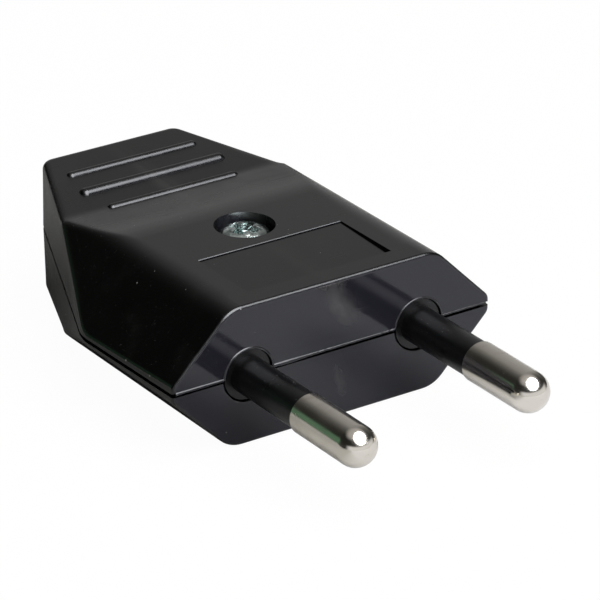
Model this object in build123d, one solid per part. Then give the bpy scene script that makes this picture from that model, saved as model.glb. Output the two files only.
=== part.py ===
from build123d import *
import os
from math import radians, sin, tan

# Rewirable two-pin flat plug: two moulded half shells, joined by one screw, round a pair of sleeved pins.
# Frame: X across the pins, Y from the engagement face to the cord end, Z up through the thickness.
# The origin is on the engagement face, midway between the pins, on the parting plane of the shells.
# All lengths are in millimetres and all angles in degrees.

# Pins
pin_spacing = 19.0
pin_d = 4.0
pin_reach = 19.0            # engagement face to tip
neck_d = 3.0                # turned down under the sleeve
barrel_d = 5.5              # terminal barrel at the inner end
barrel_length = 9.0
barrel_chamfer = 0.4
wire_hole_d = 2.6
wire_hole_depth = 7.4

# Insulating sleeves
sleeve_d = 3.68
sleeve_reach = 9.6          # engagement face to the bare metal
collar_d = 5.0
collar_recess = 0.15        # collar face below the engagement face
collar_gap = 0.13           # between collar and pin hole, on the radius
flange_d = 7.2
flange_t = 1.4

# Terminal screws
terminal_screw_d = 2.5
terminal_head_d = 4.0
terminal_head_h = 1.3
terminal_screw_y = 5.2      # from the front of the barrel
terminal_flat_depth = 0.35  # spot face under the head, below the top of the barrel
terminal_tip_drop = 2.6     # shank below the spot face
terminal_slot_turn = 70.0
terminal_room = 0.5         # least room round the heads, inside the upper shell
spot_gap = 0.2              # spot face round the head, on the radius
slot_width = 0.7            # slots of terminal and clamp screws
slot_depth = 0.7
head_chamfer = 0.2

# Housing, outside
body_length = 39.5          # at the parting plane
body_height = 14.0          # both shells, over the flat front part
slant_angle = 45.0
corner_round = 3.2          # between the flat top and the slanted sides
shoulder_width = 36.1       # widest place, where the sides turn in
shoulder_y = 15.2
shoulder_round = 5.0
face_inset = 0.35           # each side is narrower by this at the engagement face
shoulder_wall = 0.45        # height of the upright wall there, from the parting plane to the slanted side
rear_width = 15.5
rear_corner_round = 1.5
mould_draft = 1.0           # on the side and rear walls
front_edge_round = 0.35
wall_edge_round = 0.9       # between the side walls and the slanted sides
grip_edge_round = 0.75      # along the sides and rear of the finger grip
seam_gap = 0.36             # shadow gap between the outer rims of the shells
seam_depth = 0.6            # of that gap, in from the outside
seam_round = 0.15           # on the upper shell's front edge, over the gap
pin_hole_round = 0.15       # on the rims of the pin holes

# Finger grip, on both faces
grip_start_y = 19.3         # end of the flat top
grip_start_round = 22.0
valley_y = 27.5
valley_height = 12.0        # over both shells, at the lowest line of the grip
valley_round = 5.0
rear_height = 13.98         # over both shells, at the rear edge
rib_count = 3               # the first one runs along the valley
rib_pitch = 3.74
rib_width = 1.0
rib_height = 0.3
rib_length = 14.8
middle_rib_width = 1.3
middle_rib_height = 0.42
middle_rib_length = 16.5

# Housing, inside
wall = 1.8
front_wall = 2.4
barrier_t = 1.6             # insulating wall between the two terminals
cradle_t = 1.5
cradle_gap = 0.1            # round the barrel, on the radius
axial_gap = 0.15            # from flange to cradle and from barrel to stop
stop_t = 1.4
wire_notch_d = 3.6
pin_seat_width = 8.4        # cradles and stops, across each pin

# Sunk panel on the flat top
panel_width = 16.0
panel_y = 2.4
panel_length = 8.25
panel_depth = 0.3           # at its front end
panel_rear_depth = 0.13
panel_rear_chamfer = 0.05   # on the top edge of its rear wall

# Housing screw
housing_screw_y = 15.0
housing_screw_d = 2.9
housing_head_d = 4.9
housing_head_h = 1.8
housing_head_edge = 0.9     # straight rim under the dome of the head
housing_head_sink = 0.2     # top of the head below the flat top
head_well_d = 5.9
tower_wall = 1.2
screw_clearance = 0.15      # on the radius, in the upper shell
screw_tip_depth = 4.0       # below the parting plane
screw_tip_cone = 1.0
boss_wall = 1.6
spigot_wall = 0.9
spigot_height = 1.0
spigot_gap = 0.12           # on the radius and at the end
cross_width = 0.9
cross_length = 3.2
cross_depth = 1.0
cross_turn = 30.0
pilot_extra = 0.4           # blind holes below the tips of their screws

# Cord inlet and clamp
cord_hole_d = 7.0
cord_mouth = 0.5            # flare of the inlet at the rear face
clamp_setback = 8.4         # rear face to the middle of the clamp
clamp_screw_spacing = 12.0
clamp_width = 4.4
clamp_t = 1.5
clamp_rise = 1.7            # arch over the cord
clamp_span = 7.2            # width of the arch
clamp_seat_z = 0.5
clamp_screw_d = 2.2
clamp_head_d = 3.8
clamp_head_h = 1.2
clamp_screw_depth = 3.6     # shank below the seat of the clamp
clamp_hole_gap = 0.15       # on the radius
clamp_boss_d = 4.6
saddle_t = 2.0
clamp_slot_turn = 20.0

# Values worked out from the sizes above
half_height = body_height / 2
sharp_width = shoulder_width + 2 * shoulder_wall / tan(radians(slant_angle))
over = 5.0                  # overrun of cutting and trimming shapes
tiny = 0.01                 # tolerance for picking edges
wall_normal_z = 0.3         # faces steeper than this are side and rear walls
dome_point = 0.6            # place of the middle point of the dome's arc, as a share of the head's radius
pin_x = pin_spacing / 2
flange_rear_y = front_wall + flange_t
barrel_rear_y = flange_rear_y + barrel_length
terminal_y = flange_rear_y + terminal_screw_y
terminal_seat_z = barrel_d / 2 - terminal_flat_depth
head_seat_z = half_height - housing_head_sink - housing_head_h
tower_d = head_well_d + 2 * tower_wall
boss_d = housing_screw_d + 2 * boss_wall
spigot_d = housing_screw_d + 2 * spigot_wall
clamp_x = clamp_screw_spacing / 2
clamp_y = body_length - clamp_setback


def on_y(x, y, z=0.0):
    """Placement whose local Z points to the rear along Y."""
    return Pos(x, y, z) * Rot(-90, 0, 0)


def rod(diameter, start, end, x=0.0, z=0.0):
    """Round bar along Y."""
    bar = Cylinder(diameter / 2, end - start, align=(Align.CENTER, Align.CENTER, Align.MIN))
    return on_y(x, start, z) * bar


def post(diameter, bottom, top, x, y):
    """Round bar along Z."""
    bar = Cylinder(diameter / 2, top - bottom, align=(Align.CENTER, Align.CENTER, Align.MIN))
    return Pos(x, y, bottom) * bar


def block(width, start, end, bottom, top, x=0.0):
    """Box from one Y to another and from one Z to another, centred on x."""
    return Pos(x, (start + end) / 2, (bottom + top) / 2) * Box(width, end - start, top - bottom)


def section_prism(inset=0.0, front=0.0):
    """Upper half of the cross-section, run from the front to past the rear end."""
    top = half_height - inset
    foot = sharp_width / 2 - inset / sin(radians(slant_angle))
    shoulder = foot - top / tan(radians(slant_angle))
    outline = make_face(Polyline((-foot, 0), (-shoulder, top), (shoulder, top), (foot, 0), close=True))
    corners = outline.vertices().filter_by_position(Axis.Y, top / 2, top * 2)
    outline = fillet(corners, corner_round - inset)
    return extrude(Plane.XZ.offset(-front) * outline, amount=-(body_length + over - front))


def plan_prism(inset=0.0):
    """Plan of the body, drawn in towards the top by the mould draft."""
    front_x = shoulder_width / 2 - face_inset * (1 + over / shoulder_y)
    points = [(front_x, -over), (shoulder_width / 2, shoulder_y), (rear_width / 2, body_length)]
    points += [(-x, y) for x, y in reversed(points)]
    outline = make_face(Polyline(*points, close=True))
    corners = outline.vertices().filter_by_position(Axis.Y, body_length - tiny, body_length + tiny)
    outline = fillet(corners, rear_corner_round)
    shoulders = outline.vertices().filter_by_position(Axis.Y, shoulder_y - tiny, shoulder_y + tiny)
    outline = fillet(shoulders, shoulder_round)
    if inset > 0:
        outline = offset(outline, -inset, kind=Kind.INTERSECTION)
    return extrude(outline, amount=half_height + over, taper=mould_draft)


def profile_prism(inset=0.0):
    """Side view of the upper half: flat top, finger valley and rise to the rear edge."""
    valley_z = valley_height / 2 - inset
    rear_z = rear_height / 2 - inset
    end_y = body_length + over
    end_z = rear_z + (rear_z - valley_z) / (body_length - valley_y) * over
    crest = (grip_start_y, half_height - inset)
    valley = (valley_y, valley_z)
    outline = make_face(
        Polyline((-over, 0), (-over, crest[1]), crest, valley, (end_y, end_z), (end_y, 0), close=True)
    )
    outline = fillet(outline.vertices().sort_by_distance(crest)[0], grip_start_round)
    outline = fillet(outline.vertices().sort_by_distance(valley)[0], valley_round)
    return extrude(Plane.YZ * outline, amount=sharp_width, both=True)


def half_form(inset, front):
    """Upper half of the body, with its walls moved in by the inset and its front face at front."""
    return section_prism(inset, front) & plan_prism(inset) & profile_prism(inset)


def wall_tops_rounded(form, radius):
    """The form with a round along the top edges of its side and rear walls."""
    walls = form.faces().filter_by(lambda face: abs(face.normal_at().Z) < wall_normal_z)
    walls = walls.filter_by(lambda face: face.center().Y > front_wall)
    top_edges = [edge for face in walls for edge in face.edges() if edge.bounding_box().min.Z > tiny]
    return fillet(ShapeList(top_edges), radius)


def outer_half():
    """Outside of the upper shell as a solid, with rounded edges and its rim set back at the seam."""
    form = wall_tops_rounded(plan_prism() & section_prism(), wall_edge_round)
    form &= wall_tops_rounded(plan_prism() & profile_prism(), grip_edge_round)
    front_edges = form.edges().filter_by_position(Axis.Y, -tiny, tiny)
    front_edges = front_edges.filter_by_position(Axis.Z, tiny, body_height)
    form = fillet(front_edges, front_edge_round)
    rim = block(sharp_width, -over, body_length + over, 0, seam_gap / 2)
    return form - (rim - half_form(seam_depth, seam_depth))


def edge_cut(radius):
    """Outline between a square corner at the origin and the round that takes its place."""
    corner = Polyline((radius, 0), (0, 0), (0, radius))
    return make_face([corner, CenterArc((radius, radius), radius, 180, 90)])


def top_z(y):
    """Height of the upper shell's top over the parting plane, at a distance from the engagement face."""
    valley_z = valley_height / 2
    if y < grip_start_y:
        return half_height
    if y < valley_y:
        fall = (half_height - valley_z) / (valley_y - grip_start_y)
        return half_height - fall * (y - grip_start_y)
    return valley_z + (rear_height / 2 - valley_z) / (body_length - valley_y) * (y - valley_y)


def grip_rib(y, length, width, height):
    """Rounded rib with round ends, across the finger grip."""
    radius = (width**2 / 4 + height**2) / (2 * height)
    straight = length - width
    z = top_z(y) + height - radius
    bar = Pos(0, y, z) * Rot(0, 90, 0) * Cylinder(radius, straight)
    ends = [Pos(x, y, z) * Sphere(radius) for x in (-straight / 2, straight / 2)]
    return bar + ends


def grip_ribs():
    """All ribs of one finger grip, the middle one larger."""
    ribs = []
    for index in range(rib_count):
        y = valley_y + index * rib_pitch
        if 0 < index < rib_count - 1:
            ribs.append(grip_rib(y, middle_rib_length, middle_rib_width, middle_rib_height))
        else:
            ribs.append(grip_rib(y, rib_length, rib_width, rib_height))
    return ribs


def pin_seats():
    """Cradles and end stops that trap both terminal barrels, for the upper half."""
    cradle_y = flange_rear_y + axial_gap
    stop_y = barrel_rear_y + axial_gap
    seats = []
    for x in (-pin_x, pin_x):
        cradle = block(pin_seat_width, cradle_y, cradle_y + cradle_t, 0, half_height, x)
        seats.append(cradle - rod(barrel_d + 2 * cradle_gap, 0, body_length, x))
        stop = block(pin_seat_width, stop_y, stop_y + stop_t, 0, half_height, x)
        seats.append(stop - rod(wire_notch_d, 0, body_length, x))
    return seats


def way_cuts():
    """Pin holes through the front wall and the flared cord inlet through the rear wall."""
    hole_d = collar_d + 2 * collar_gap
    rim = revolve(Pos(hole_d / 2, 0) * edge_cut(pin_hole_round), Axis.Y)
    cuts = [rod(hole_d, -over, flange_rear_y, x) for x in (-pin_x, pin_x)]
    cuts += [Pos(x, 0, 0) * rim for x in (-pin_x, pin_x)]
    cuts.append(rod(cord_hole_d, clamp_y, body_length + over))
    align = (Align.CENTER, Align.CENTER, Align.MAX)
    flare = Cone(cord_hole_d / 2, cord_hole_d / 2 + cord_mouth, cord_mouth, align=align)
    cuts.append(on_y(0, body_length) * flare)
    return cuts


def panel_cut():
    """Sunk panel, deeper to the front, with a chamfer over its rear wall."""
    rear_y = panel_y + panel_length
    outline = Polyline(
        (panel_y, half_height + over),
        (panel_y, half_height - panel_depth),
        (rear_y, half_height - panel_rear_depth),
        (rear_y, half_height - panel_rear_chamfer),
        (rear_y + panel_rear_chamfer + over, half_height + over),
        close=True,
    )
    return extrude(Plane.YZ * make_face(outline), amount=panel_width / 2, both=True)


def upper_shell():
    """Shell with the sunk panel, the well and tower of the housing screw, and room for the terminals."""
    core = half_form(wall / 2, front_wall / 2)
    tower = post(tower_d, 0, half_height, 0, housing_screw_y)
    barrier = block(barrier_t, 0, housing_screw_y, 0, half_height)
    inner = [feature & core for feature in [tower, barrier, *pin_seats()]]
    shell = outer_half() + grip_ribs() - half_form(wall, front_wall) + inner
    shell -= panel_cut()
    shell -= post(head_well_d, head_seat_z, half_height + over, 0, housing_screw_y)
    shell -= post(housing_screw_d + 2 * screw_clearance, -over, half_height, 0, housing_screw_y)
    shell -= post(spigot_d + 2 * spigot_gap, -over, spigot_height + spigot_gap, 0, housing_screw_y)
    room_d = terminal_head_d + 2 * terminal_room
    room_top = terminal_seat_z + terminal_head_h + terminal_room
    shell -= [post(room_d, 0, room_top, x, terminal_y) for x in (-pin_x, pin_x)]
    shell -= extrude(Plane.YZ * Pos(0, seam_gap / 2) * edge_cut(seam_round), amount=sharp_width, both=True)
    return shell - way_cuts()


def lower_shell():
    """Shell with the screw boss and its spigot, the clamp bosses and the cord saddle."""
    core = half_form(wall / 2, front_wall / 2)
    barrier = block(barrier_t, 0, housing_screw_y, 0, half_height)
    boss = post(boss_d, 0, half_height, 0, housing_screw_y)
    clamp_bosses = [post(clamp_boss_d, 0, half_height, x, clamp_y) for x in (-clamp_x, clamp_x)]
    saddle = block(clamp_screw_spacing, clamp_y - saddle_t / 2, clamp_y + saddle_t / 2, 0, half_height)
    saddle -= rod(cord_hole_d, 0, body_length)
    inner = [feature & core for feature in [barrier, boss, saddle, *clamp_bosses, *pin_seats()]]
    shell = outer_half() + grip_ribs() - half_form(wall, front_wall) + inner
    shell = mirror(shell - way_cuts(), about=Plane.XY)
    shell += post(spigot_d, -spigot_height, spigot_height, 0, housing_screw_y)
    shell -= post(housing_screw_d, -screw_tip_depth - pilot_extra, over, 0, housing_screw_y)
    for x in (-clamp_x, clamp_x):
        shell += post(clamp_boss_d, -clamp_seat_z, clamp_seat_z, x, clamp_y)
        shell -= post(clamp_screw_d, clamp_seat_z - clamp_screw_depth - pilot_extra, over, x, clamp_y)
    return shell


def pin(x):
    """Turned pin: domed tip, neck for the sleeve, terminal barrel with wire hole and screw hole."""
    tip = CenterArc((0, pin_d / 2 - pin_reach), pin_d / 2, -90, 90)
    side = Polyline(
        (pin_d / 2, pin_d / 2 - pin_reach),
        (pin_d / 2, -sleeve_reach),
        (neck_d / 2, -sleeve_reach),
        (neck_d / 2, flange_rear_y),
        (barrel_d / 2, flange_rear_y),
        (barrel_d / 2, barrel_rear_y - barrel_chamfer),
        (barrel_d / 2 - barrel_chamfer, barrel_rear_y),
        (0, barrel_rear_y),
        (0, -pin_reach),
    )
    body = revolve(make_face([tip, side]), Axis.Y)
    body -= rod(wire_hole_d, barrel_rear_y - wire_hole_depth, barrel_rear_y + over)
    body -= post(terminal_head_d + 2 * spot_gap, terminal_seat_z, barrel_d, 0, terminal_y)
    body -= post(terminal_screw_d, 0, barrel_d, 0, terminal_y)
    return Pos(x, 0, 0) * body


def sleeve(x):
    """Insulating sleeve moulded on the neck, with the collar and flange that the housing holds."""
    outline = Polyline(
        (neck_d / 2, -sleeve_reach),
        (sleeve_d / 2, -sleeve_reach),
        (sleeve_d / 2, collar_recess),
        (collar_d / 2, collar_recess),
        (collar_d / 2, front_wall),
        (flange_d / 2, front_wall),
        (flange_d / 2, flange_rear_y),
        (neck_d / 2, flange_rear_y),
        close=True,
    )
    return Pos(x, 0, 0) * revolve(make_face(outline), Axis.Y)


def cheese_head_screw(head_d, head_h, shank_d, shank_length, slot_turn):
    """Slotted screw, seat of the head at the origin, shank down."""
    head = post(head_d, 0, head_h, 0, 0)
    head = chamfer(head.edges().group_by(Axis.Z)[-1], head_chamfer)
    slot = Rot(0, 0, slot_turn) * Pos(0, 0, head_h) * Box(head_d * 2, slot_width, 2 * slot_depth)
    shank = post(shank_d, -shank_length, 0, 0, 0)
    shank = chamfer(shank.edges().group_by(Axis.Z)[0], head_chamfer)
    return head + shank - slot


def housing_screw():
    """Pan-head screw with a cross recess, through the upper shell into the boss of the lower one."""
    radius = housing_head_d / 2
    shank_r = housing_screw_d / 2
    rim_z = head_seat_z + housing_head_edge
    dome = ThreePointArc(
        (radius, rim_z),
        (radius * dome_point, rim_z + (housing_head_h - housing_head_edge) * (1 - dome_point**2)),
        (0, head_seat_z + housing_head_h),
    )
    side = Polyline(
        (0, head_seat_z + housing_head_h),
        (0, -screw_tip_depth),
        (shank_r, screw_tip_cone - screw_tip_depth),
        (shank_r, head_seat_z),
        (radius, head_seat_z),
        (radius, rim_z),
    )
    screw = revolve(Plane.XZ * make_face([dome, side]), Axis.Z)
    for turn in (0, 90):
        recess = Box(cross_length, cross_width, 2 * cross_depth)
        screw -= Pos(0, 0, head_seat_z + housing_head_h) * Rot(0, 0, turn + cross_turn) * recess
    return Pos(0, housing_screw_y, 0) * screw


def cord_clamp():
    """Arched bar over the cord, with a round flat end on each boss."""
    reach = clamp_x + clamp_width / 2
    low = clamp_seat_z
    high = clamp_seat_z + clamp_t
    under = ThreePointArc((-clamp_span / 2, low), (0, low + clamp_rise), (clamp_span / 2, low))
    over_arch = ThreePointArc((clamp_span / 2, high), (0, high + clamp_rise), (-clamp_span / 2, high))
    right_end = Polyline((clamp_span / 2, low), (reach, low), (reach, high), (clamp_span / 2, high))
    left_end = Polyline((-clamp_span / 2, high), (-reach, high), (-reach, low), (-clamp_span / 2, low))
    outline = make_face([under, right_end, over_arch, left_end])
    bar = extrude(Plane.XZ * outline, amount=clamp_width, both=True)
    plan = extrude(SlotCenterToCenter(clamp_screw_spacing, clamp_width), amount=body_height)
    bar &= plan
    for x in (-clamp_x, clamp_x):
        bar -= post(clamp_screw_d + 2 * clamp_hole_gap, 0, body_height, x, 0)
    return Pos(0, clamp_y, 0) * bar


def build():
    """All pieces by node name, each in its place."""
    nodes = {
        "upper_shell": upper_shell(),
        "lower_shell": lower_shell(),
        "housing_screw": housing_screw(),
        "cord_clamp": cord_clamp(),
    }
    clamp_screw = cheese_head_screw(
        clamp_head_d, clamp_head_h, clamp_screw_d, clamp_screw_depth + clamp_t, clamp_slot_turn
    )
    terminal_screw = cheese_head_screw(
        terminal_head_d, terminal_head_h, terminal_screw_d, terminal_tip_drop, terminal_slot_turn
    )
    for side, sign in (("left", -1), ("right", 1)):
        nodes[f"pin_{side}"] = pin(sign * pin_x)
        nodes[f"sleeve_{side}"] = sleeve(sign * pin_x)
        nodes[f"terminal_screw_{side}"] = Pos(sign * pin_x, terminal_y, terminal_seat_z) * terminal_screw
        clamp_top = clamp_seat_z + clamp_t
        nodes[f"clamp_screw_{side}"] = Pos(sign * clamp_x, clamp_y, clamp_top) * clamp_screw
    return nodes


if __name__ == "__main__":
    os.makedirs("parts", exist_ok=True)
    for name, solid in build().items():
        export_step(solid, f"parts/{name}.step")
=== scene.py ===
import math

import bmesh
import bpy
from mathutils import Matrix, Vector, noise


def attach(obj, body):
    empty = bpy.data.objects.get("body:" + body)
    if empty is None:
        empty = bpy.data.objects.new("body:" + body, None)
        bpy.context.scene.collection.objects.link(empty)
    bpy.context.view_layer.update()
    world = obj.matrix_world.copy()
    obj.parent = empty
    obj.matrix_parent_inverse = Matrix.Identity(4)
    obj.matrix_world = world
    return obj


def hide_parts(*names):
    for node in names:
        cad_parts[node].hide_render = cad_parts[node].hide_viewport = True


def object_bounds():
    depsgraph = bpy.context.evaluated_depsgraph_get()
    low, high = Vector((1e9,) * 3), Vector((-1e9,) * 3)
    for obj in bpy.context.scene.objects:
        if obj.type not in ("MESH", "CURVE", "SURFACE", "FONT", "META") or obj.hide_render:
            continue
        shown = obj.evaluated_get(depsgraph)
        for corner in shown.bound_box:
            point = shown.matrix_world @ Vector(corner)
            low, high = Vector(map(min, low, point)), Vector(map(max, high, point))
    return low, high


# Two-pin plug: glossy black split housing, sleeved nickel-plated pins, one zinc-plated housing screw.
# Lengths are in metres, in the frame of the solids: X across the pins, Y to the cord end, Z up.
# A pair of numbers gives the two ends of a change or a range. For a lamp it gives the two widths.

MM = 0.001

# Camera
CAMERA_AZIMUTH = -34.137
CAMERA_ELEVATION = 25.19
CAMERA_DISTANCE = 380.356 * MM
CAMERA_RIGHT = -3.196 * MM
CAMERA_UP = 4.525 * MM
FOCAL_LENGTH_PIXELS = 4127.03
FRAME_PIXELS = 600
SENSOR_WIDTH = 36.0
CLIP_FACTOR = 100

# Floor: in reflections its colour holds a painted shadow, darkest behind the plug, and painted light in front
# of it
FLOOR_SIZE = 6.0
FLOOR_COLOUR = (0.92, 0.92, 0.93, 1)
FLOOR_WHITE_SHARE = 0.97
FLOOR_PAINTED_SHADOW_SPOT = (-4.0 * MM, 44.0 * MM, 0.0)
FLOOR_PAINTED_SHADOW_REACH = (0.0, 60.0 * MM)
FLOOR_PAINTED_SHADOW_GREYS = (
    (0.0, (0.12, 0.12, 0.115)),
    (0.1, (0.13, 0.13, 0.125)),
    (0.26, (0.20, 0.20, 0.195)),
    (0.61, (0.29, 0.29, 0.28)),
    (0.82, (0.50, 0.50, 0.49)),
)
FLOOR_PAINTED_LIGHT_WAY = (0.6, -0.8, 0.0)
FLOOR_PAINTED_LIGHT_RANGE = (0.0, 14.0 * MM)
FLOOR_PAINTED_LIGHT_COLOUR = (0.79, 0.80, 0.83, 1)

# Lamps: a softbox for the matt light and a glint for the highlights, one behind the other
LAMP_DIRECTION = Vector((0.08, -0.51, 0.86))
LAMP_TURN = -40.0
SOFTBOX_DISTANCE = 0.60
SOFTBOX_SIZE = (0.68, 0.80)
SOFTBOX_POWER = 4.8
GLINT_DISTANCE = 0.58
GLINT_SIZE = (0.60, 0.76)
GLINT_POWER = 13.0
GLINT_COLOUR = (0.93, 0.95, 1.0)

# Room in reflections: walls from dark to grey, then what lies over them, by height or by side
ROOM_BRIGHT_WAY = (0.5, 0.866, 0.0)
ROOM_TONES = (
    (0.0, (0.020, 0.020, 0.018)),
    (0.437, (0.026, 0.026, 0.023)),
    (0.505, (0.030, 0.030, 0.026)),
    (0.60, (0.054, 0.053, 0.048)),
    (0.70, (0.098, 0.097, 0.091)),
    (0.80, (0.145, 0.144, 0.138)),
    (0.895, (0.23, 0.229, 0.224)),
    (0.96, (0.355, 0.353, 0.35)),
    (0.995, (0.405, 0.403, 0.40)),
)
ROOM_LOW_LEVEL = 1.266
ROOM_FALL = 0.85
DARK_LOW_COLOUR = (0.03, 0.03, 0.03, 1)
DARK_LOW_TOP = (0.40, 0.15)
DARK_LOW_SIDE = (0.965, 0.90)
GREEN_EDGE_COLOUR = (0.095, 0.18, 0.115, 1)
GREEN_EDGE_TOP = (0.36, 0.28)
GREEN_EDGE_WAY = (-0.62, 0.785, 0.0)
GREEN_EDGE_SIDE = (0.95, 0.985)
CEILING_COLOUR = (0.42, 0.41, 0.40, 1)
CEILING_EDGE = (0.68, 0.92)
FRONT_COLOUR = (0.80, 0.80, 0.82, 1)
FRONT_TOP = (0.38, 0.26)
FRONT_SIDE = (0.0, -0.50)
WHITE = (1, 1, 1, 1)

# What keeps X and Y of a place or direction and drops Z
LEVEL = (1, 1, 0)

# Shared effects
SLOW_GRAIN_SCALE = 0.16
SPECK_CORE = 0.5
SMUDGE_LEVEL = 0.78
SMUDGE_FULL = 0.80
STREAK_TURN = (0.5, 0.4, 0.9)
STREAK_STRETCH = (1, 9, 9)
STREAK_RANGE = (0.42, 0.62)
STREAK_LEVELS = (0.45, 1.0)
SCRATCH_STRETCH = (0.06, 1, 1)
SCRATCH_RANGE = (0.70, 0.76)
UNEVEN_RANGE = (0.3, 0.7)
BUMP_HEIGHT = 0.05 * MM
LINES_ALONG_PIN = (0.0, 0.0, math.pi / 2)

# Finish of the housing. Here and below, a value with ROUGHER in its name is added to the roughness.
HOUSING_BLACK = (0.0004, 0.0004, 0.0005, 1)
# Colour of the front face: a faint haze, with a painted bluish sheen in it
FRONT_HAZE_AND_BLUE_SHEEN = (0.011, 0.011, 0.016, 1)
HOUSING_DUST = (0.22, 0.21, 0.20, 1)
HOUSING_ROUGHNESS = (0.15, 0.20)
HOUSING_IOR = 1.5
HOUSING_BUMP = 0.06
HOUSING_SCRATCH_TURN = (0.0, 0.0, 0.5)
FRONT_ROUGHER = -0.09
HANDLED_ROUGHER = 0.11
WELL_ROUGHER = 0.08
SMUDGE_ROUGHER = 0.10
SCRATCH_ROUGHER = 0.10
DIRT_ROUGHER = 0.4
LINT_SHARE = 0.35
SMUDGE_SHARE = 0.01
DUST_LEFT_ON_TOP = (1.0, 0.3)
HOUSING_SCRATCH_DEPTH = -0.25
DUST_HEIGHT = 3.0

# Places of the housing with a finish of their own, by the way they face or by where they lie
FRONT_FACING = (-0.8, -0.97)
TOP_FACING = (0.80, 0.92)
EDGE_FACING = (-0.2, -0.5)
GRIP_START = (20.0 * MM, 24.0 * MM)
WELL_WALL = (3.14 * MM, 3.06 * MM)
CREASE_X = (9.0 * MM, 10.2 * MM)
CREASE_Y = (1.5 * MM, 4.0 * MM)
CREASE_Z = (1.5 * MM, 2.5 * MM)
CREASE_ROUND = (2.2 * MM, 1.0 * MM)
CREASE_CHANGE = (12.0 * MM, 18.0 * MM)
CREASE_SAMPLES = 8

# Wiped marks on the front face: centre, turn about Y, half length and half width, and how much they show
UPPER_SMEAR = ((0.9 * MM, 0.0, 4.3 * MM), 1.02, (3.6 * MM, 1.9 * MM))
UPPER_SMEAR_SHARE = 0.20
LOWER_SMEAR = ((0.6 * MM, 0.0, -3.4 * MM), 1.32, (2.8 * MM, 0.8 * MM))
LOWER_SMEAR_SHARE = 0.10
SMEAR_EDGE = (1.0, 0.1)
SMEAR_STREAKS = (0.25, 0.8)

# Finish of the sleeves
SLEEVE_BLACK = (0.0012, 0.0012, 0.0014, 1)
SLEEVE_DUST = (0.06, 0.06, 0.06, 1)
SLEEVE_ROUGHNESS = (0.27, 0.35)
SLEEVE_IOR = 1.44
SLEEVE_BUMP = 0.22
SLEEVE_SCRATCH_ROUGHER = 0.12
SLEEVE_SCRATCH_DEPTH = -0.3

# Finish of the metal pieces
NICKEL = (0.76, 0.72, 0.65, 1)
DULL_NICKEL = (0.62, 0.57, 0.49, 1)
NICKEL_ROUGHNESS = (0.13, 0.20)
NICKEL_BUMP = 0.05
ZINC = (0.82, 0.89, 0.87, 1)
DULL_ZINC = (0.55, 0.66, 0.64, 1)
ZINC_ROUGHNESS = (0.14, 0.26)
ZINC_BUMP = 0.25
ZINC_LINES = (0.0, 0.0, 0.4)
DRIVEN_DULL_ZINC = (0.50, 0.63, 0.60, 1)
DRIVEN_ROUGHNESS = (0.12, 0.22)
TARNISH_SHARE = 0.4
METAL_SMUDGE_ROUGHER = 0.06
METAL_SCRATCH_DEPTH = -0.4
BURR_DEPTH = 0.11 * MM
BURR_REACH = (2.2 * MM, 1.5 * MM)
# Darker greenish patches in and round the screw's recess: their colour, noise range and strength
RECESS_DARK_COLOUR = (0.05, 0.085, 0.075, 1)
RECESS_DARK_RANGE = (0.62, 0.40)
RECESS_DARK_LEVELS = (0.0, 0.8)

# Flash that the mould left along the front edge of the upper shell
PIN_X = 9.5 * MM
PIN_HOLE_RADIUS = 2.63 * MM
FACE_HALF_WIDTH = 17.4 * MM
FLASH_HEIGHT = 0.23 * MM
FLASH_RIM = 0.08 * MM
FLASH_SINK = 0.05 * MM
FLASH_REACH = 0.18 * MM
FLASH_THICKNESS = 0.075 * MM
FLASH_FADE = 70.0 * MM
FLASH_STEP = 0.12 * MM
FLASH_SIDES = 16
FLASH_WAVE = 0.06
FLASH_WAVES_PER_METRE = 900
FLASH_FRAY = 0.03
FLASH_FRAYS_PER_METRE = 5200
THICK_FLASH_X = -5.2 * MM
THICK_FLASH_REACH = 2.6 * MM
THICK_FLASH_GAIN = 0.55
RAGGED_STRETCHES = ((-2.8 * MM, -0.2 * MM), (5.0 * MM, 7.2 * MM))
RAGGED_FRAY = 0.35

# Housing screw
SCREW_Y = 15.0 * MM
SCREW_SEAT = 5.0 * MM
HEAD_RADIUS = 2.45 * MM
HEAD_RIM = 0.95 * MM
HEAD_HEIGHT = 1.8 * MM
HEAD_CHAMFER = 0.1 * MM
DOME_STEPS = 14
DOME_SPREAD = 0.8
DOME_RISE = 0.9
TURNING_STEPS = 64
SMOOTH_ANGLE = 32.0
SHANK_RADIUS = 1.45 * MM
SHANK_CORE = 1.1 * MM
SHANK_TIP = -4.0 * MM
SHANK_CONE = 1.2 * MM
THREAD_PITCH = 1.0 * MM
THREAD_STEPS = 40
THREAD_RUN_OUT = 8
THREAD_HALF_FOOT = 0.3 * THREAD_PITCH
THREAD_HALF_CREST = 0.04 * MM
THREAD_SINK = 0.05 * MM

# Cross recess, cut by two wings: length and width of a wing at its top, above the head, and at its foot
RECESS_TURN = 30.0
RECESS_DEPTH = 1.3 * MM
RECESS_OVER = 0.78 * MM
RECESS_TOP = (3.72 * MM, 1.426 * MM)
RECESS_FOOT = (1.9 * MM, 0.75 * MM)


def put(tree, kind, inputs=None, **settings):
    """A new node in the tree, with its settings, and with values or links on its inputs."""
    made = tree.nodes.new(kind)
    for name, value in settings.items():
        setattr(made, name, value)
    for name, value in (inputs or {}).items():
        if isinstance(value, bpy.types.NodeSocket):
            tree.links.new(value, made.inputs[name])
        else:
            made.inputs[name].default_value = value
    return made


def change(tree, value, edges, levels=(0.0, 1.0), kind="LINEAR"):
    """Goes from the first level to the second while the value goes from one edge to the other."""
    inputs = {
        "Value": value,
        "From Min": edges[0],
        "From Max": edges[1],
        "To Min": levels[0],
        "To Max": levels[1],
    }
    return put(tree, "ShaderNodeMapRange", inputs, interpolation_type=kind).outputs["Result"]


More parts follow.
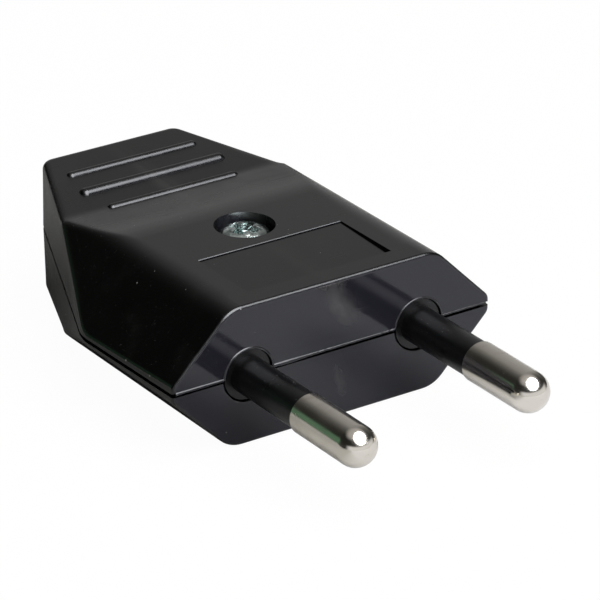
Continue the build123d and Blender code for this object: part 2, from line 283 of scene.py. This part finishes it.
def soft_change(tree, value, edges):
    """Goes from 0 to 1 with soft ends while the value goes from one edge to the other."""
    return change(tree, value, edges, kind="SMOOTHSTEP")


def math_node(tree, operation, *values):
    """Result of one sum with the values."""
    return put(tree, "ShaderNodeMath", dict(enumerate(values)), operation=operation).outputs[0]


def times(tree, first, second):
    """First times second."""
    return math_node(tree, "MULTIPLY", first, second)


def add(tree, first, second, share):
    """First plus a share of second."""
    return math_node(tree, "MULTIPLY_ADD", second, share, first)


def vector_node(tree, operation, first, second=None):
    """Outputs of one sum with vectors."""
    inputs = {0: first} if second is None else {0: first, 1: second}
    return put(tree, "ShaderNodeVectorMath", inputs, operation=operation).outputs


def mix(tree, factor, first, second, kind="RGBA"):
    """First colour or vector, going over to the second by the factor."""
    inputs = {"Factor": factor, "A": first, "B": second}
    return put(tree, "ShaderNodeMix", inputs, data_type=kind).outputs["Result"]


def parts_of(tree, vector):
    """X, Y and Z of a vector."""
    return put(tree, "ShaderNodeSeparateXYZ", {"Vector": vector}).outputs


def effect(tree, group, place, **values):
    """Outputs of a shared effect, placed in a material with its own values."""
    return put(tree, "ShaderNodeGroup", {"Place": place, **values}, node_tree=group).outputs


def from_axis(tree, place, centre=(0, 0, 0)):
    """Distance from the upright line through a centre."""
    flat = vector_node(tree, "MULTIPLY", place, LEVEL)["Vector"]
    return vector_node(tree, "DISTANCE", flat, centre)["Value"]


def tones(tree, value, stops):
    """Colour ramp through the given stops."""
    ramp = put(tree, "ShaderNodeValToRGB", {"Fac": value})
    points = ramp.color_ramp.elements
    while len(points) < len(stops):
        points.new(1.0)
    for point, (position, colour) in zip(points, stops):
        point.position = position
        point.color = (*colour, 1)
    return ramp.outputs["Color"]


def new_group(name, inputs, outputs):
    """An empty shader node group with a place and other named sockets; gives it and its tree's own ends."""
    group = bpy.data.node_groups.new(name, "ShaderNodeTree")
    group.interface.new_socket("Place", in_out="INPUT", socket_type="NodeSocketVector")
    for socket, kind in inputs.items():
        group.interface.new_socket(socket, in_out="INPUT", socket_type=kind)
    for socket in outputs:
        group.interface.new_socket(socket, in_out="OUTPUT", socket_type="NodeSocketFloat")
    start = group.nodes.new("NodeGroupInput").outputs
    end = group.nodes.new("NodeGroupOutput").inputs
    return group, start, end


def cloud(tree, place, scale, detail, distortion=0.0):
    """Cloudy noise."""
    inputs = {"Vector": place, "Scale": scale, "Detail": detail, "Distortion": distortion}
    return put(tree, "ShaderNodeTexNoise", inputs).outputs["Fac"]


def fine_grain():
    """Moulded or plated grain, as a height and as a slow unevenness."""
    group, start, end = new_group("fine_grain", {"Scale": "NodeSocketFloat"}, ["Height", "Unevenness"])
    slow_scale = times(group, start["Scale"], SLOW_GRAIN_SCALE)
    group.links.new(cloud(group, start["Place"], start["Scale"], detail=5.0), end["Height"])
    group.links.new(cloud(group, start["Place"], slow_scale, detail=3.0), end["Unevenness"])
    return group


def dust_specks():
    """Small round specks, few and of uneven size."""
    sockets = {"Scale": "NodeSocketFloat", "Size": "NodeSocketFloat"}
    group, start, end = new_group("dust_specks", sockets, ["Mask"])
    cells = put(group, "ShaderNodeTexVoronoi", {"Vector": start["Place"], "Scale": start["Scale"]})
    chance = put(group, "ShaderNodeSeparateColor", {"Color": cells.outputs["Color"]})
    size = times(group, chance.outputs["Red"], start["Size"])
    core = times(group, size, SPECK_CORE)
    group.links.new(change(group, cells.outputs["Distance"], (size, core)), end["Mask"])
    return group


def hand_smudges():
    """Soft cloudy patches, with a few short streaks in them."""
    sockets = {"Scale": "NodeSocketFloat", "Cover": "NodeSocketFloat"}
    group, start, end = new_group("hand_smudges", sockets, ["Mask"])
    clouds = cloud(group, start["Place"], start["Scale"], detail=3.0, distortion=0.6)
    edge = math_node(group, "SUBTRACT", SMUDGE_LEVEL, start["Cover"])
    patch = soft_change(group, clouds, (edge, SMUDGE_FULL))
    stretch = {"Vector": start["Place"], "Rotation": STREAK_TURN, "Scale": STREAK_STRETCH}
    long_place = put(group, "ShaderNodeMapping", stretch).outputs["Vector"]
    lines = cloud(group, long_place, start["Scale"], detail=2.0)
    streaks = change(group, lines, STREAK_RANGE, STREAK_LEVELS)
    group.links.new(times(group, patch, streaks), end["Mask"])
    return group


def hair_scratches():
    """Thin scattered scratches, long in one direction."""
    sockets = {"Scale": "NodeSocketFloat", "Turn": "NodeSocketVector"}
    group, start, end = new_group("hair_scratches", sockets, ["Mask"])
    stretch = {"Vector": start["Place"], "Rotation": start["Turn"], "Scale": SCRATCH_STRETCH}
    turned_place = put(group, "ShaderNodeMapping", stretch).outputs["Vector"]
    lines = cloud(group, turned_place, start["Scale"], detail=1.0)
    group.links.new(change(group, lines, SCRATCH_RANGE), end["Mask"])
    return group


def new_material(name):
    """An empty node material, with its Principled shader already on the output."""
    material = bpy.data.materials.new(name)
    material.use_nodes = True
    tree = material.node_tree
    tree.nodes.clear()
    shader = put(tree, "ShaderNodeBsdfPrincipled")
    put(tree, "ShaderNodeOutputMaterial", {"Surface": shader.outputs["BSDF"]})
    return material, tree, shader


def set_finish(tree, shader, colour, rough, normal):
    """Colour, roughness and normal on the shader."""
    tree.links.new(colour, shader.inputs["Base Color"])
    tree.links.new(rough, shader.inputs["Roughness"])
    tree.links.new(normal, shader.inputs["Normal"])


def bump(tree, height, strength, distance=BUMP_HEIGHT, normal=None):
    """Normal that follows a height."""
    inputs = {"Height": height, "Strength": strength, "Distance": distance}
    if normal is not None:
        inputs["Normal"] = normal
    return put(tree, "ShaderNodeBump", inputs).outputs["Normal"]


def dress(names, material):
    """The material on these solids."""
    for name in names:
        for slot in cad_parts[name].material_slots:
            slot.material = material


def smear(tree, place, centre, turn, reach):
    """Mask of one wiped mark on the front face: an oval about its centre, broken up by fine streaks."""
    inputs = {"Vector": place, "Location": centre, "Rotation": (0, turn, 0), "Scale": (reach[0], 1, reach[1])}
    oval = put(tree, "ShaderNodeMapping", inputs, vector_type="TEXTURE").outputs["Vector"]
    inside = soft_change(tree, vector_node(tree, "LENGTH", oval)["Value"], SMEAR_EDGE)
    streaks = cloud(tree, oval, scale=1.6, detail=6.0, distortion=0.3)
    return times(tree, inside, change(tree, streaks, SMEAR_STREAKS))


def crease_normal(tree, place):
    """Normal that rounds off the long upper edges, as the mould does, and less towards the rear."""
    spot = parts_of(tree, place)
    beside = soft_change(tree, math_node(tree, "ABSOLUTE", spot["X"]), CREASE_X)
    behind = soft_change(tree, spot["Y"], CREASE_Y)
    above = soft_change(tree, spot["Z"], CREASE_Z)
    mask = times(tree, times(tree, beside, behind), above)
    radius = change(tree, spot["Y"], CREASE_CHANGE, CREASE_ROUND)
    rounded = put(tree, "ShaderNodeBevel", {"Radius": radius}, samples=CREASE_SAMPLES).outputs["Normal"]
    plain = put(tree, "ShaderNodeNewGeometry").outputs["Normal"]
    return mix(tree, mask, plain, rounded, kind="VECTOR")


def housing_dirt(tree, place, dust, smudge, upward):
    """Mask of specks, fainter on top, with smudges and the wiped marks of the front face."""
    lint = effect(tree, DUST, place, Scale=2100.0, Size=0.08)["Mask"]
    fleck = effect(tree, DUST, place, Scale=300.0, Size=0.040)["Mask"]
    dirt = add(tree, dust, lint, LINT_SHARE)
    dirt = math_node(tree, "ADD", dirt, fleck)
    dirt = times(tree, dirt, change(tree, upward, (0.0, 1.0), DUST_LEFT_ON_TOP))
    dirt = add(tree, dirt, smudge, SMUDGE_SHARE)
    dirt = add(tree, dirt, smear(tree, place, *UPPER_SMEAR), UPPER_SMEAR_SHARE)
    return add(tree, dirt, smear(tree, place, *LOWER_SMEAR), LOWER_SMEAR_SHARE)


def housing_plastic():
    """Glossy black moulding: smooth front face with a faint haze and a painted bluish sheen, duller grip and
    edges, dust, smudges and scratches.
    """
    material, tree, shader = new_material("glossy_black_plastic")
    coordinates = put(tree, "ShaderNodeTexCoord").outputs
    place = coordinates["Object"]
    facing = parts_of(tree, coordinates["Normal"])
    front = soft_change(tree, facing["Y"], FRONT_FACING)
    upward = change(tree, facing["Z"], TOP_FACING)
    edges = math_node(tree, "SUBTRACT", change(tree, facing["Y"], EDGE_FACING), front)
    grip = times(tree, soft_change(tree, parts_of(tree, place)["Y"], GRIP_START), upward)
    handled = math_node(tree, "MAXIMUM", grip, edges)
    well = change(tree, from_axis(tree, place, (0, SCREW_Y, 0)), WELL_WALL)
    grain = effect(tree, GRAIN, place, Scale=1400.0)
    dust = effect(tree, DUST, place, Scale=620.0, Size=0.075)["Mask"]
    smudge = effect(tree, SMUDGES, place, Scale=170.0, Cover=0.26)["Mask"]
    scratch = effect(tree, SCRATCHES, place, Scale=2600.0, Turn=HOUSING_SCRATCH_TURN)["Mask"]
    dirt = housing_dirt(tree, place, dust, smudge, upward)
    # The front face gets a faint haze with a painted bluish sheen
    colour = mix(tree, dirt, mix(tree, front, HOUSING_BLACK, FRONT_HAZE_AND_BLUE_SHEEN), HOUSING_DUST)
    rough = change(tree, grain["Unevenness"], UNEVEN_RANGE, HOUSING_ROUGHNESS)
    rough = add(tree, rough, front, FRONT_ROUGHER)
    rough = add(tree, rough, handled, HANDLED_ROUGHER)
    rough = add(tree, rough, well, WELL_ROUGHER)
    rough = add(tree, rough, smudge, SMUDGE_ROUGHER)
    rough = add(tree, rough, scratch, SCRATCH_ROUGHER)
    rough = add(tree, rough, dirt, DIRT_ROUGHER)
    height = add(tree, grain["Height"], scratch, HOUSING_SCRATCH_DEPTH)
    height = add(tree, height, dust, DUST_HEIGHT)
    normal = bump(tree, height, HOUSING_BUMP, normal=crease_normal(tree, place))
    shader.inputs["IOR"].default_value = HOUSING_IOR
    set_finish(tree, shader, colour, rough, normal)
    return material


def sleeve_plastic():
    """Satin black sleeve, dusty and faintly scuffed along its length by sockets."""
    material, tree, shader = new_material("satin_black_sleeve")
    place = put(tree, "ShaderNodeTexCoord").outputs["Object"]
    grain = effect(tree, GRAIN, place, Scale=1900.0)
    dust = effect(tree, DUST, place, Scale=2000.0, Size=0.16)["Mask"]
    scratch = effect(tree, SCRATCHES, place, Scale=1800.0, Turn=LINES_ALONG_PIN)["Mask"]
    colour = mix(tree, dust, SLEEVE_BLACK, SLEEVE_DUST)
    rough = change(tree, grain["Unevenness"], UNEVEN_RANGE, SLEEVE_ROUGHNESS)
    rough = add(tree, rough, scratch, SLEEVE_SCRATCH_ROUGHER)
    height = add(tree, grain["Height"], scratch, SLEEVE_SCRATCH_DEPTH)
    shader.inputs["IOR"].default_value = SLEEVE_IOR
    set_finish(tree, shader, colour, rough, bump(tree, height, SLEEVE_BUMP))
    return material


def driven_recess(tree, place, colour, normal):
    """Colour with darker greenish patches, and normal with burrs, round a recess that a screwdriver has
    turned.
    """
    worked = change(tree, from_axis(tree, place), BURR_REACH)
    burr = effect(tree, GRAIN, place, Scale=11000.0)["Unevenness"]
    darker_patches = times(tree, change(tree, burr, RECESS_DARK_RANGE, RECESS_DARK_LEVELS), worked)
    burred = bump(tree, times(tree, burr, worked), strength=1.0, distance=BURR_DEPTH, normal=normal)
    return mix(tree, darker_patches, colour, RECESS_DARK_COLOUR), burred


def plated_metal(name, bright, dull, roughness, lines_turn, bump_strength, driven=False):
    """Plated turned metal: slow tarnish, fine grain and thin lines, with burrs where it has been driven."""
    material, tree, shader = new_material(name)
    place = put(tree, "ShaderNodeTexCoord").outputs["Object"]
    grain = effect(tree, GRAIN, place, Scale=1600.0)
    smudge = effect(tree, SMUDGES, place, Scale=260.0, Cover=0.3)["Mask"]
    scratch = effect(tree, SCRATCHES, place, Scale=2400.0, Turn=lines_turn)["Mask"]
    colour = mix(tree, add(tree, smudge, grain["Unevenness"], TARNISH_SHARE), bright, dull)
    rough = change(tree, grain["Unevenness"], UNEVEN_RANGE, roughness)
    rough = add(tree, rough, scratch, SCRATCH_ROUGHER)
    rough = add(tree, rough, smudge, METAL_SMUDGE_ROUGHER)
    height = add(tree, grain["Height"], scratch, METAL_SCRATCH_DEPTH)
    normal = bump(tree, height, bump_strength)
    if driven:
        colour, normal = driven_recess(tree, place, colour, normal)
    shader.inputs["Metallic"].default_value = 1.0
    set_finish(tree, shader, colour, rough, normal)
    return material


def piece(name, shape, material):
    """The finished mesh as a smooth-shaded object of the plug."""
    mesh = bpy.data.meshes.new(name)
    shape.to_mesh(mesh)
    shape.free()
    mesh.materials.append(material)
    mesh.shade_smooth()
    made = bpy.data.objects.new(name, mesh)
    bpy.context.scene.collection.objects.link(made)
    return made


def skin(shape, rings):
    """Closed skin over a row of rings with equally many points."""
    count = len(rings[0])
    for first, second in zip(rings, rings[1:]):
        for corner in range(count):
            following = (corner + 1) % count
            shape.faces.new((first[corner], first[following], second[following], second[corner]))
    shape.faces.new(reversed(rings[0]))
    shape.faces.new(rings[-1])
    bmesh.ops.recalc_face_normals(shape, faces=shape.faces)


def flash_path():
    """Points along the lower edge of the upper front face: left end, over both pin holes, right end."""
    reach = PIN_HOLE_RADIUS + FLASH_RIM
    start = math.asin(FLASH_HEIGHT / reach)
    foot = reach * math.cos(start)
    points = []

    def straight(first, last):
        count = max(2, round((last - first) / FLASH_STEP))
        for i in range(count):
            points.append(Vector((first + (last - first) * i / count, FLASH_SINK, FLASH_HEIGHT)))

    def over_hole(x):
        sweep = math.pi - 2 * start
        count = round(reach * sweep / FLASH_STEP)
        for i in range(count):
            angle = math.pi - start - sweep * i / count
            points.append(Vector((x + reach * math.cos(angle), FLASH_SINK, reach * math.sin(angle))))

    straight(-FACE_HALF_WIDTH, -PIN_X - foot)
    over_hole(-PIN_X)
    straight(-PIN_X + foot, PIN_X - foot)
    over_hole(PIN_X)
    straight(PIN_X + foot, FACE_HALF_WIDTH)
    return points


def flash_size(point):
    """Size of the flash at a point of its path, as a share of its full section."""
    at_seam = point.z < 2 * FLASH_HEIGHT
    ragged = at_seam and any(low < point.x < high for low, high in RAGGED_STRETCHES)
    size = 1 - point.x / FLASH_FADE
    if at_seam:
        size += THICK_FLASH_GAIN * max(0.0, 1 - abs(point.x - THICK_FLASH_X) / THICK_FLASH_REACH)
    size += FLASH_WAVE * noise.noise(point * FLASH_WAVES_PER_METRE)
    return size + (RAGGED_FRAY if ragged else FLASH_FRAY) * noise.noise(point * FLASH_FRAYS_PER_METRE)


def parting_flash(material):
    """Thin uneven lip of flash that the mould left along the upper shell's front edge."""
    points = flash_path()
    shape = bmesh.new()
    rear = Vector((0, 1, 0))
    rings = []
    for index, point in enumerate(points):
        before = points[max(index - 1, 0)]
        after = points[min(index + 1, len(points) - 1)]
        side = rear.cross((after - before).normalized())
        outward = (side - rear).normalized()
        upward = (-side - rear).normalized()
        size = flash_size(point)
        ring = []
        for corner in range(FLASH_SIDES):
            angle = 2 * math.pi * corner / FLASH_SIDES
            across = FLASH_REACH * math.cos(angle) * outward + FLASH_THICKNESS * math.sin(angle) * upward
            ring.append(shape.verts.new(point + size * across))
        rings.append(ring)
    skin(shape, rings)
    made = piece("parting_flash", shape, material)
    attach(made, "root")


def turned(profile):
    """Closed turned form about Z from (radius, height) points that begin and end on the axis."""
    shape = bmesh.new()
    top = shape.verts.new((0, 0, profile[0][1]))
    bottom = shape.verts.new((0, 0, profile[-1][1]))
    angles = [2 * math.pi * step / TURNING_STEPS for step in range(TURNING_STEPS)]
    rings = []
    for radius, height in profile[1:-1]:
        rings.append([shape.verts.new((radius * math.cos(a), radius * math.sin(a), height)) for a in angles])
    for step in range(TURNING_STEPS):
        following = (step + 1) % TURNING_STEPS
        shape.faces.new((top, rings[0][step], rings[0][following]))
        shape.faces.new((bottom, rings[-1][following], rings[-1][step]))
        for first, second in zip(rings, rings[1:]):
            shape.faces.new((first[step], second[step], second[following], first[following]))
    bmesh.ops.recalc_face_normals(shape, faces=shape.faces)
    return shape


def screw_profile():
    """Outline of the screw from the top of its head to its tip, with a plain core for the thread."""
    rim_top = SCREW_SEAT + HEAD_RIM
    rise = HEAD_HEIGHT - HEAD_RIM
    profile = [(0, SCREW_SEAT + HEAD_HEIGHT)]
    for step in range(1, DOME_STEPS + 1):
        turn = math.pi / 2 * step / DOME_STEPS
        radius = HEAD_RADIUS * math.sin(turn) ** DOME_SPREAD
        profile.append((radius, rim_top + rise * math.cos(turn) ** DOME_RISE))
    profile += [(HEAD_RADIUS, SCREW_SEAT + HEAD_CHAMFER), (HEAD_RADIUS - HEAD_CHAMFER, SCREW_SEAT)]
    profile += [(SHANK_CORE, SCREW_SEAT), (SHANK_CORE, SHANK_TIP + SHANK_CONE), (0, SHANK_TIP)]
    return profile


def tapered_wing(head_top, turn):
    """One wing of the cross recess: wide and long at the top, narrow and short at its foot."""
    shape = bmesh.new()
    rings = []
    for height, (length, width) in ((RECESS_OVER, RECESS_TOP), (-RECESS_DEPTH, RECESS_FOOT)):
        signs = ((-1, -1), (1, -1), (1, 1), (-1, 1))
        rings.append([shape.verts.new((x * length / 2, y * width / 2, height)) for x, y in signs])
    skin(shape, rings)
    spin = Matrix.Rotation(math.radians(turn), 3, "Z")
    bmesh.ops.rotate(shape, cent=(0, 0, 0), matrix=spin, verts=shape.verts)
    bmesh.ops.translate(shape, vec=(0, 0, head_top), verts=shape.verts)
    return shape


def cut(target, cutter):
    """Takes the cutter out of the target, and the cutter out of the scene."""
    step = target.modifiers.new("recess", "BOOLEAN")
    step.object = cutter
    step.operation = "DIFFERENCE"
    step.solver = "EXACT"
    bpy.context.view_layer.objects.active = target
    bpy.ops.object.modifier_apply(modifier=step.name)
    bpy.data.objects.remove(cutter)


def helix_thread(start, end):
    """Mesh of a coarse thread's ridge, wound round the core of the shank."""
    shape = bmesh.new()
    turns = (start - end) / THREAD_PITCH
    count = round(turns * THREAD_STEPS)
    root = SHANK_CORE - THREAD_SINK
    rings = []
    for index in range(count + 1):
        share = index / count
        angle = 2 * math.pi * turns * share
        height = start + (end - start) * share
        run_out = min(1.0, THREAD_RUN_OUT * share, THREAD_RUN_OUT * (1 - share))
        crest = SHANK_CORE + (SHANK_RADIUS - SHANK_CORE) * run_out
        outward = Vector((math.cos(angle), math.sin(angle), 0))
        section = (
            (root, THREAD_HALF_FOOT),
            (crest, THREAD_HALF_CREST),
            (crest, -THREAD_HALF_CREST),
            (root, -THREAD_HALF_FOOT),
        )
        ring = []
        for radius, rise in section:
            ring.append(shape.verts.new(outward * radius + Vector((0, 0, height + rise))))
        rings.append(ring)
    skin(shape, rings)
    mesh = bpy.data.meshes.new("thread")
    shape.to_mesh(mesh)
    shape.free()
    return mesh


def housing_screw(material):
    """Pan-head screw with a tapered cross recess and a coarse thread, in place of its plain solid."""
    screw = piece("cross_head_screw", turned(screw_profile()), material)
    for turn in (RECESS_TURN, RECESS_TURN + 90):
        wing = tapered_wing(SCREW_SEAT + HEAD_HEIGHT, turn)
        cut(screw, piece("recess_cutter", wing, material))
    screw.data.shade_smooth()
    bpy.ops.object.select_all(action="DESELECT")
    screw.select_set(True)
    bpy.ops.object.shade_smooth_by_angle(angle=math.radians(SMOOTH_ANGLE))
    thread = helix_thread(SCREW_SEAT - THREAD_PITCH, SHANK_TIP + SHANK_CONE)
    shape = bmesh.new()
    shape.from_mesh(screw.data)
    shape.from_mesh(thread)
    shape.to_mesh(screw.data)
    shape.free()
    bpy.data.meshes.remove(thread)
    screw.location.y = SCREW_Y
    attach(screw, "root")
    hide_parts("housing_screw")


def painted_floor_shade(tree):
    """Colour of the floor in reflections: a painted shadow, darkest at a spot behind the plug, and painted
    light in front of it.
    """
    place = put(tree, "ShaderNodeTexCoord").outputs["Object"]
    from_painted_shadow = vector_node(tree, "DISTANCE", place, FLOOR_PAINTED_SHADOW_SPOT)["Value"]
    towards_painted_light = vector_node(tree, "DOT_PRODUCT", place, FLOOR_PAINTED_LIGHT_WAY)["Value"]
    painted_shadow_greys = tones(tree, change(tree, from_painted_shadow, FLOOR_PAINTED_SHADOW_REACH), FLOOR_PAINTED_SHADOW_GREYS)
    return mix(tree, change(tree, towards_painted_light, FLOOR_PAINTED_LIGHT_RANGE), painted_shadow_greys, FLOOR_PAINTED_LIGHT_COLOUR)


def floor(height):
    """Pale floor: white to the camera but for a trace of shadow, grey with a painted shadow and painted light
    in reflections, clear from below.
    """
    bpy.ops.mesh.primitive_plane_add(size=FLOOR_SIZE, location=(0, 0, height))
    plane = bpy.context.object
    plane.name = "floor"
    material = bpy.data.materials.new("pale_floor")
    material.use_nodes = True
    tree = material.node_tree
    tree.nodes.clear()
    rays = put(tree, "ShaderNodeLightPath").outputs
    paper = put(tree, "ShaderNodeBsdfDiffuse", {"Color": FLOOR_COLOUR}).outputs[0]
    white = put(tree, "ShaderNodeEmission", {"Strength": 1.0}).outputs[0]
    # In reflections the floor shows a painted shadow behind the plug and painted light in front of it
    mirrored_painted_shade = put(tree, "ShaderNodeBsdfDiffuse", {"Color": painted_floor_shade(tree)}).outputs[0]
    clear = put(tree, "ShaderNodeBsdfTransparent").outputs[0]
    below = put(tree, "ShaderNodeNewGeometry").outputs["Backfacing"]
    to_camera = times(tree, rays["Is Camera Ray"], FLOOR_WHITE_SHARE)
    look = put(tree, "ShaderNodeMixShader", {0: to_camera, 1: paper, 2: white}).outputs[0]
    look = put(tree, "ShaderNodeMixShader", {0: rays["Is Glossy Ray"], 1: look, 2: mirrored_painted_shade}).outputs[0]
    look = put(tree, "ShaderNodeMixShader", {0: below, 1: look, 2: clear}).outputs[0]
    put(tree, "ShaderNodeOutputMaterial", {"Surface": look})
    plane.data.materials.append(material)


def soft_lamp(name, power, distance, size):
    """Large rounded soft light, high in front of the plug."""
    lamp = bpy.data.lights.new(name, "AREA")
    lamp.shape = "ELLIPSE"
    lamp.size, lamp.size_y = size
    lamp.energy = power
    made = bpy.data.objects.new(name, lamp)
    direction = LAMP_DIRECTION.normalized()
    turn = Matrix.Rotation(math.radians(LAMP_TURN), 3, "Z")
    made.location = direction * distance
    made.rotation_euler = (direction.to_track_quat("Z", "Y").to_matrix() @ turn).to_euler()
    made.visible_camera = False
    bpy.context.scene.collection.objects.link(made)
    return made


def lamps():
    """Softbox for the matt light alone and glint for the highlights alone."""
    softbox = soft_lamp("softbox", SOFTBOX_POWER, SOFTBOX_DISTANCE, SOFTBOX_SIZE)
    softbox.visible_glossy = False
    glint = soft_lamp("glint", GLINT_POWER, GLINT_DISTANCE, GLINT_SIZE)
    glint.visible_diffuse = False
    glint.data.color = GLINT_COLOUR


def even_light(tree, colour):
    """Even light of one colour, at plain strength."""
    return put(tree, "ShaderNodeBackground", {"Color": colour, "Strength": 1.0}).outputs[0]


def over(tree, room, cover, colour):
    """The room with one colour laid over it where the cover says."""
    return put(tree, "ShaderNodeMixShader", {0: cover, 1: room, 2: even_light(tree, colour)}).outputs[0]


def studio_room():
    """White to the camera; in reflections a room with a grey back, a green edge and a pale front."""
    world = bpy.data.worlds.new("studio_room")
    bpy.context.scene.world = world
    world.use_nodes = True
    tree = world.node_tree
    tree.nodes.clear()
    direction = put(tree, "ShaderNodeTexCoord").outputs["Generated"]
    rise = parts_of(tree, direction)["Z"]
    flat = vector_node(tree, "MULTIPLY", direction, LEVEL)["Vector"]
    flat = vector_node(tree, "NORMALIZE", flat)["Vector"]
    depth = parts_of(tree, flat)["Y"]
    facing = vector_node(tree, "DOT_PRODUCT", flat, ROOM_BRIGHT_WAY)["Value"]
    beside = vector_node(tree, "DOT_PRODUCT", flat, GREEN_EDGE_WAY)["Value"]
    level = math_node(tree, "MULTIPLY_ADD", rise, -ROOM_FALL, ROOM_LOW_LEVEL)
    walls = {"Color": tones(tree, facing, ROOM_TONES), "Strength": level}
    room = put(tree, "ShaderNodeBackground", walls).outputs[0]
    dark_low = times(tree, soft_change(tree, rise, DARK_LOW_TOP), soft_change(tree, facing, DARK_LOW_SIDE))
    green = times(tree, soft_change(tree, rise, GREEN_EDGE_TOP), soft_change(tree, beside, GREEN_EDGE_SIDE))
    ceiling = soft_change(tree, rise, CEILING_EDGE)
    front = times(tree, soft_change(tree, rise, FRONT_TOP), soft_change(tree, depth, FRONT_SIDE))
    to_camera = put(tree, "ShaderNodeLightPath").outputs["Is Camera Ray"]
    room = over(tree, room, dark_low, DARK_LOW_COLOUR)
    room = over(tree, room, green, GREEN_EDGE_COLOUR)
    room = over(tree, room, ceiling, CEILING_COLOUR)
    room = over(tree, room, front, FRONT_COLOUR)
    room = over(tree, room, to_camera, WHITE)
    put(tree, "ShaderNodeOutputWorld", {"Surface": room})


def camera():
    """Camera at the photograph's viewing angle."""
    azimuth = math.radians(CAMERA_AZIMUTH)
    elevation = math.radians(CAMERA_ELEVATION)
    level = math.cos(elevation)
    back = Vector((math.sin(azimuth) * level, -math.cos(azimuth) * level, math.sin(elevation)))
    right = Vector((math.cos(azimuth), math.sin(azimuth), 0))
    up = back.cross(right)
    data = bpy.data.cameras.new("camera")
    data.sensor_width = SENSOR_WIDTH
    data.lens = FOCAL_LENGTH_PIXELS / FRAME_PIXELS * SENSOR_WIDTH
    data.clip_start = CAMERA_DISTANCE / CLIP_FACTOR
    data.clip_end = CAMERA_DISTANCE * CLIP_FACTOR
    made = bpy.data.objects.new("camera", data)
    made.location = back * CAMERA_DISTANCE + right * CAMERA_RIGHT + up * CAMERA_UP
    made.rotation_euler = (-back).to_track_quat("-Z", "Y").to_euler()
    bpy.context.scene.collection.objects.link(made)
    bpy.context.scene.camera = made


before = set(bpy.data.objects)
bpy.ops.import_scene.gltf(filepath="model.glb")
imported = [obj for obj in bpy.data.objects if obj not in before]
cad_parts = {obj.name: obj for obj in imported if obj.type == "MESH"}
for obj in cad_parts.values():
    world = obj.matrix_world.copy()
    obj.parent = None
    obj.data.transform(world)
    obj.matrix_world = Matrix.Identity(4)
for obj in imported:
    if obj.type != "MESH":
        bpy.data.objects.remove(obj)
cad_low, cad_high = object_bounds()

GRAIN = fine_grain()
DUST = dust_specks()
SMUDGES = hand_smudges()
SCRATCHES = hair_scratches()

black = housing_plastic()
satin = sleeve_plastic()
nickel = plated_metal("polished_nickel", NICKEL, DULL_NICKEL, NICKEL_ROUGHNESS, LINES_ALONG_PIN, NICKEL_BUMP)
zinc = plated_metal("bright_zinc", ZINC, DULL_ZINC, ZINC_ROUGHNESS, ZINC_LINES, ZINC_BUMP)
driven_zinc = plated_metal(
    "driven_zinc", ZINC, DRIVEN_DULL_ZINC, DRIVEN_ROUGHNESS, ZINC_LINES, ZINC_BUMP, driven=True
)

dress(["upper_shell", "lower_shell"], black)
dress(["sleeve_left", "sleeve_right", "cord_clamp"], satin)
dress(["pin_left", "pin_right"], nickel)
dress(["housing_screw"], zinc)
dress(["terminal_screw_left", "terminal_screw_right", "clamp_screw_left", "clamp_screw_right"], zinc)

parting_flash(black)
housing_screw(driven_zinc)

floor(cad_low.z)
lamps()
studio_room()
camera()
bpy.context.scene.view_settings.view_transform = "Standard"
